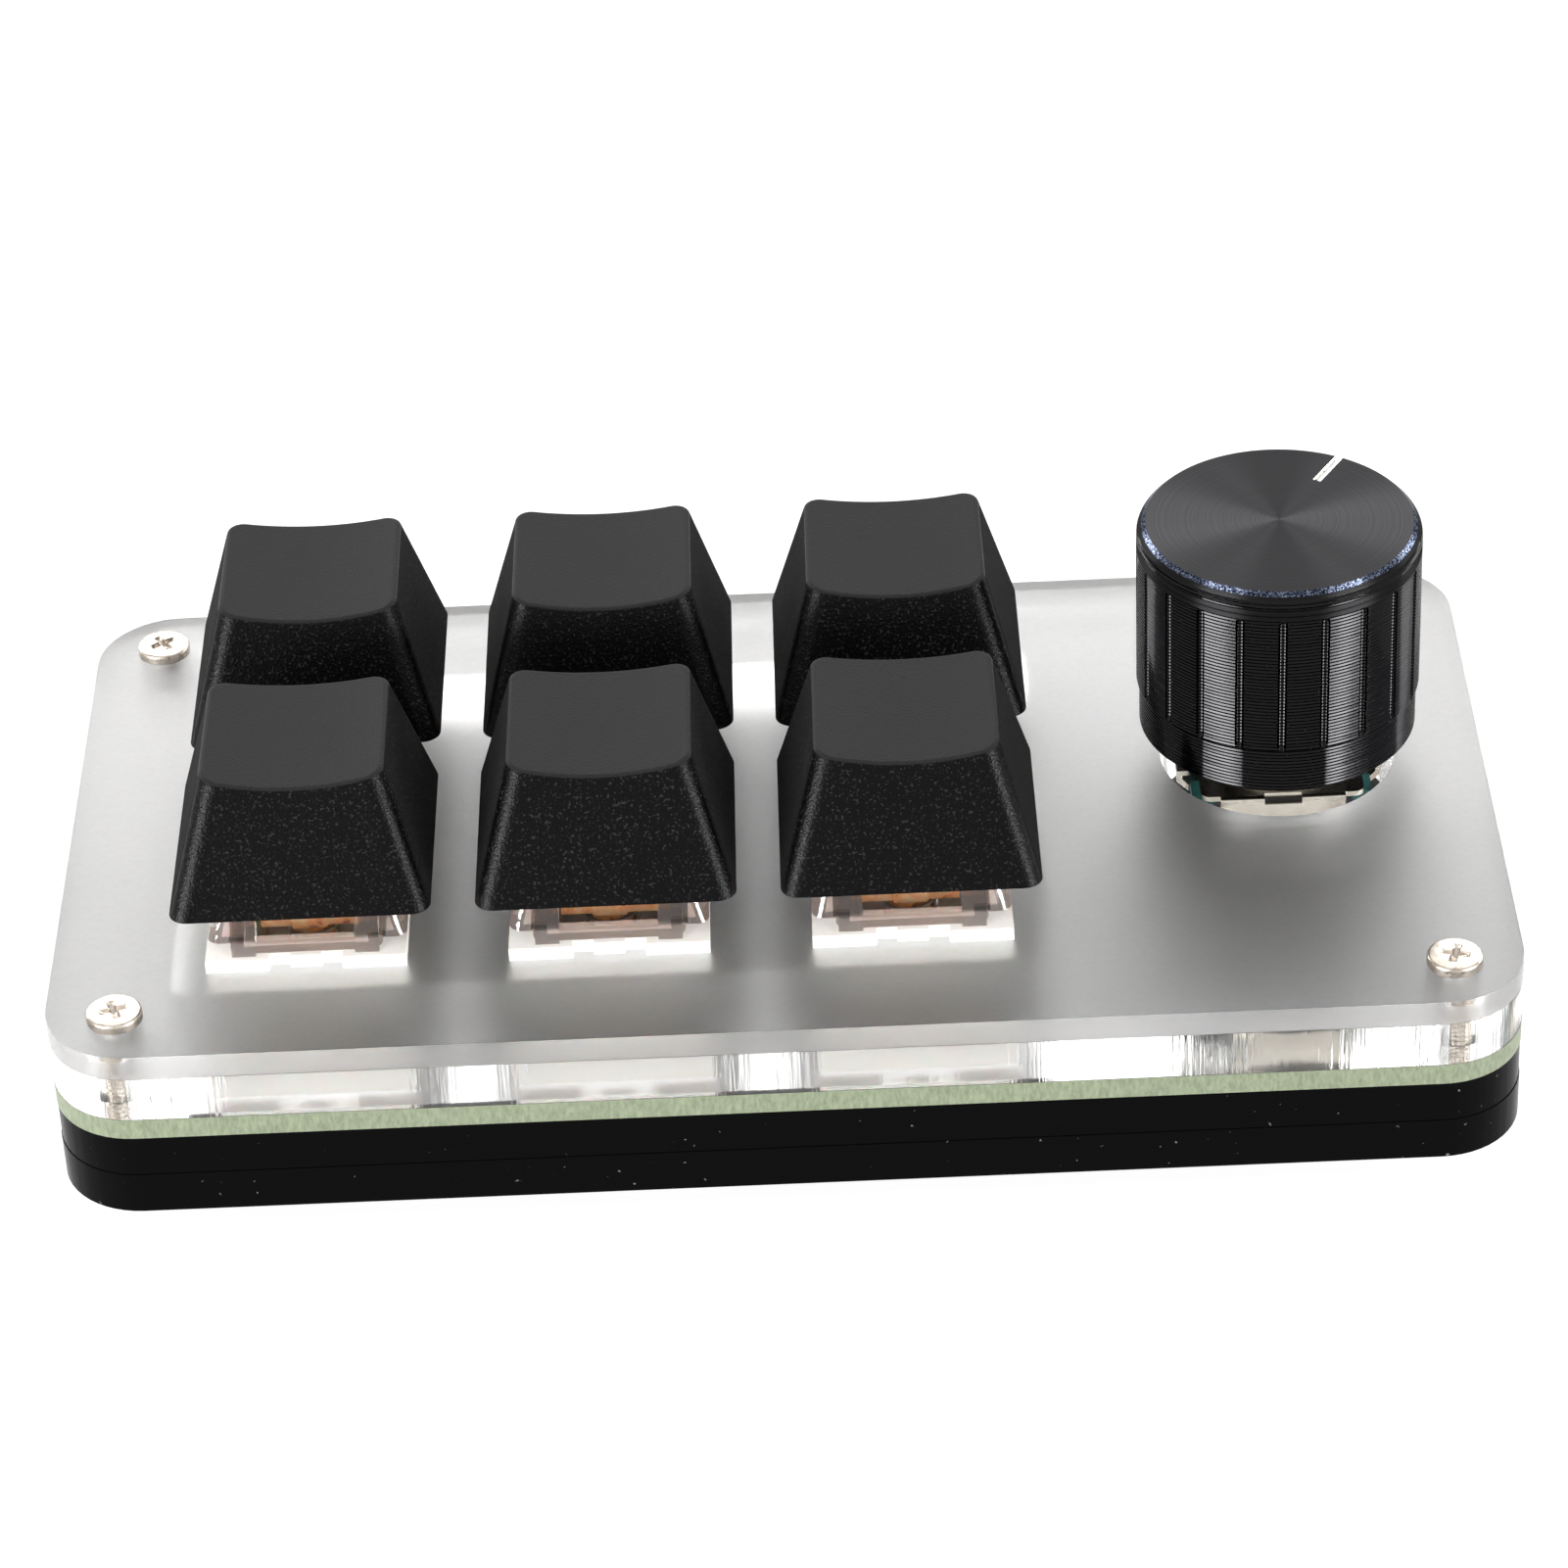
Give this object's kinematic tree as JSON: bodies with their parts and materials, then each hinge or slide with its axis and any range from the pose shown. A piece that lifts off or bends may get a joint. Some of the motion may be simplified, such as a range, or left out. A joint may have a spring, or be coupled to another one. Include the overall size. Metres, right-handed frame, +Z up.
{
  "type": "macro keypad with knob",
  "caption": "Flat layered desk keypad with a grid of pressable sculpted keys and a fluted rotary push knob beside them.",
  "frame": {"origin": "middle of the case on the desk plane, under the rubber feet", "axes": "+X along the length towards the knob, +Y away from the user, +Z up"},
  "size_m": [0.1024, 0.0554, 0.0369],
  "materials": {
    "black_acrylic": "gloss black sheet with laser-cut edges",
    "board": "glass-epoxy board, pale green cut edge",
    "clear_acrylic": "clear sheet with laser-cut edges",
    "frosted_acrylic": "frosted on the face, clear on the edge",
    "foot_rubber": "matt",
    "nickel_steel": "nickel plated",
    "encoder_plastic": "moulded",
    "encoder_metal": "plated",
    "tinned_metal": "tinned",
    "rotor_plastic": "moulded",
    "usb_steel": "plated",
    "chip_black": "moulded",
    "knob_aluminium": "black anodised, bright cut edge and pointer",
    "black_steel": "black oxide",
    "switch_white": "moulded nylon",
    "switch_clear": "moulded polycarbonate",
    "spring_steel": "drawn wire",
    "keycap_plastic": "fine grain",
    "stem_amber": "amber"
  },
  "bodies": {
    "case": {"base_plate": "black_acrylic", "case_frame": "black_acrylic", "circuit_board": "board", "spacer_plate": "clear_acrylic", "top_plate": "frosted_acrylic", "rubber_feet": "foot_rubber", "case_screws": "nickel_steel", "case_nuts": "nickel_steel", "encoder_body": "encoder_plastic", "encoder_cover": "encoder_metal", "encoder_bushing": "encoder_metal", "encoder_terminals": "tinned_metal", "encoder_dome": "tinned_metal", "usb_socket": "usb_steel", "usb_tongue": "chip_black", "controller_chip": "chip_black", "board_parts": "chip_black", "switch_base_1": "switch_white", "switch_housing_1": "switch_clear", "switch_spring_1": "spring_steel", "switch_contacts_1": "tinned_metal", "switch_base_2": "switch_white", "switch_housing_2": "switch_clear", "switch_spring_2": "spring_steel", "switch_contacts_2": "tinned_metal", "switch_base_3": "switch_white", "switch_housing_3": "switch_clear", "switch_spring_3": "spring_steel", "switch_contacts_3": "tinned_metal", "switch_base_4": "switch_white", "switch_housing_4": "switch_clear", "switch_spring_4": "spring_steel", "switch_contacts_4": "tinned_metal", "switch_base_5": "switch_white", "switch_housing_5": "switch_clear", "switch_spring_5": "spring_steel", "switch_contacts_5": "tinned_metal", "switch_base_6": "switch_white", "switch_housing_6": "switch_clear", "switch_spring_6": "spring_steel", "switch_contacts_6": "tinned_metal"},
    "key_1": {"keycap_1": "keycap_plastic", "key_stem_1": "stem_amber"},
    "key_2": {"keycap_2": "keycap_plastic", "key_stem_2": "stem_amber"},
    "key_3": {"keycap_3": "keycap_plastic", "key_stem_3": "stem_amber"},
    "key_4": {"keycap_4": "keycap_plastic", "key_stem_4": "stem_amber"},
    "key_5": {"keycap_5": "keycap_plastic", "key_stem_5": "stem_amber"},
    "key_6": {"keycap_6": "keycap_plastic", "key_stem_6": "stem_amber"},
    "rotor": {"encoder_rotor": "rotor_plastic"},
    "knob": {"knob": "knob_aluminium", "knob_set_screw": "black_steel", "encoder_shaft": "encoder_metal"}
  },
  "joints": [
    {"name": "key_1_press", "type": "slide", "parent": "case", "child": "key_1", "axis": [0, 0, -1], "range_m": [0, 0.004], "stiffness_N_per_m": 75, "springref_m": -0.004, "deforming": ["switch_spring_1"]},
    {"name": "key_2_press", "type": "slide", "parent": "case", "child": "key_2", "axis": [0, 0, -1], "range_m": [0, 0.004], "stiffness_N_per_m": 75, "springref_m": -0.004, "deforming": ["switch_spring_2"]},
    {"name": "key_3_press", "type": "slide", "parent": "case", "child": "key_3", "axis": [0, 0, -1], "range_m": [0, 0.004], "stiffness_N_per_m": 75, "springref_m": -0.004, "deforming": ["switch_spring_3"]},
    {"name": "key_4_press", "type": "slide", "parent": "case", "child": "key_4", "axis": [0, 0, -1], "range_m": [0, 0.004], "stiffness_N_per_m": 75, "springref_m": -0.004, "deforming": ["switch_spring_4"]},
    {"name": "key_5_press", "type": "slide", "parent": "case", "child": "key_5", "axis": [0, 0, -1], "range_m": [0, 0.004], "stiffness_N_per_m": 75, "springref_m": -0.004, "deforming": ["switch_spring_5"]},
    {"name": "key_6_press", "type": "slide", "parent": "case", "child": "key_6", "axis": [0, 0, -1], "range_m": [0, 0.004], "stiffness_N_per_m": 75, "springref_m": -0.004, "deforming": ["switch_spring_6"]},
    {"name": "knob_turn", "type": "hinge", "parent": "case", "child": "rotor", "pos_m": [0.03635, 0.0037, 0.0172], "axis": [0, 0, 1], "continuous": true},
    {"name": "knob_press", "type": "slide", "parent": "rotor", "child": "knob", "axis": [0, 0, -1], "range_m": [0, 0.0005], "stiffness_N_per_m": 4000, "springref_m": -0.0004}
  ]
}
